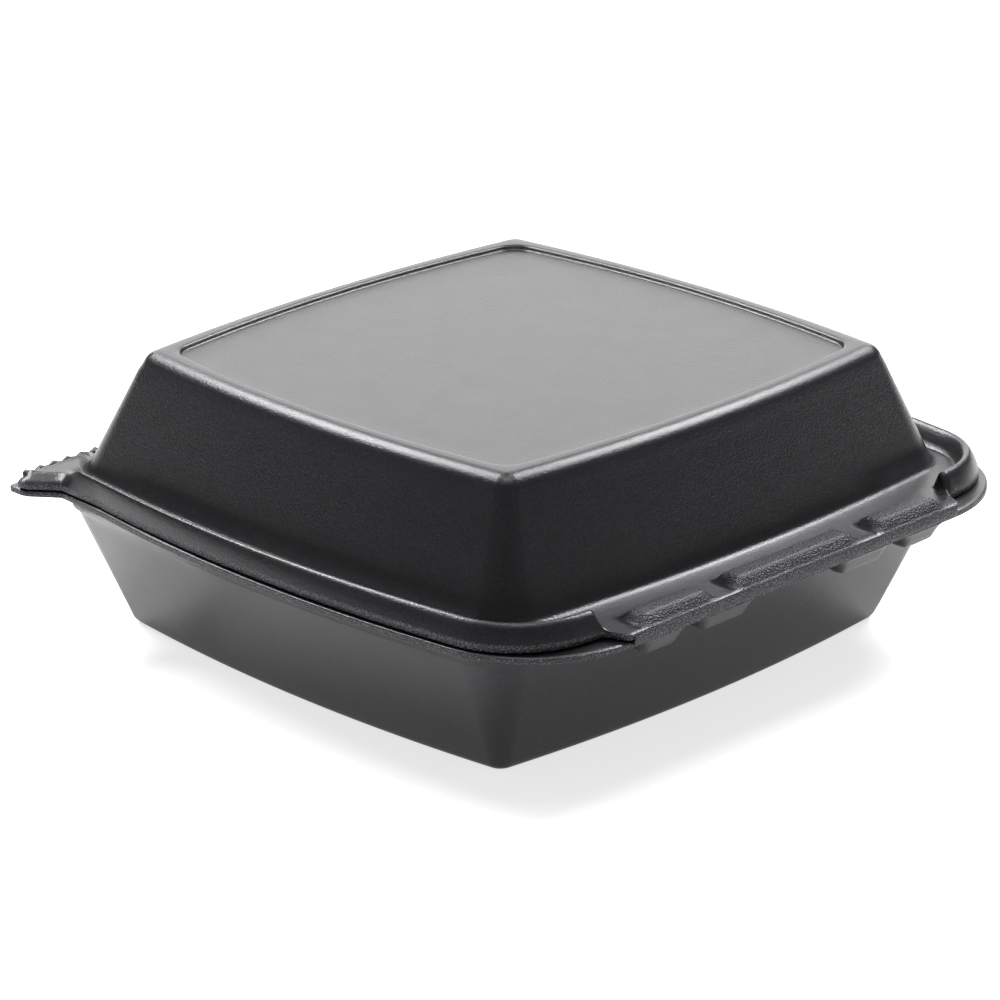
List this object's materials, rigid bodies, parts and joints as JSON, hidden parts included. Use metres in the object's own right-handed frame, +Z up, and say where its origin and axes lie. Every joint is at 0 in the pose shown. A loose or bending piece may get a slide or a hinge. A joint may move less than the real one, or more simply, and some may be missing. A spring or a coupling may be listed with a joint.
{
  "type": "foam clamshell container",
  "caption": "Black foam takeaway box with a domed hinged lid, recessed top panel, rolled rim and toothed pull tab.",
  "frame": {"origin": "middle of the footprint, on the surface that the box stands on", "axes": "+Z up; +Y towards the hinge; -Y towards the pull tab; +X to the right when the tab is seen from behind the hinge"},
  "size_m": [0.203, 0.2018, 0.0812],
  "materials": {
    "black_foam": "satin black polystyrene foam sheet"
  },
  "bodies": {
    "base": {"tray": "black_foam"},
    "cover": {"lid": "black_foam"}
  },
  "joints": [
    {"name": "lid_hinge", "type": "hinge", "parent": "base", "child": "cover", "pos_m": [0, 0.10107, 0.0445], "axis": [-1, 0, 0], "range_deg": [0, 180]}
  ]
}
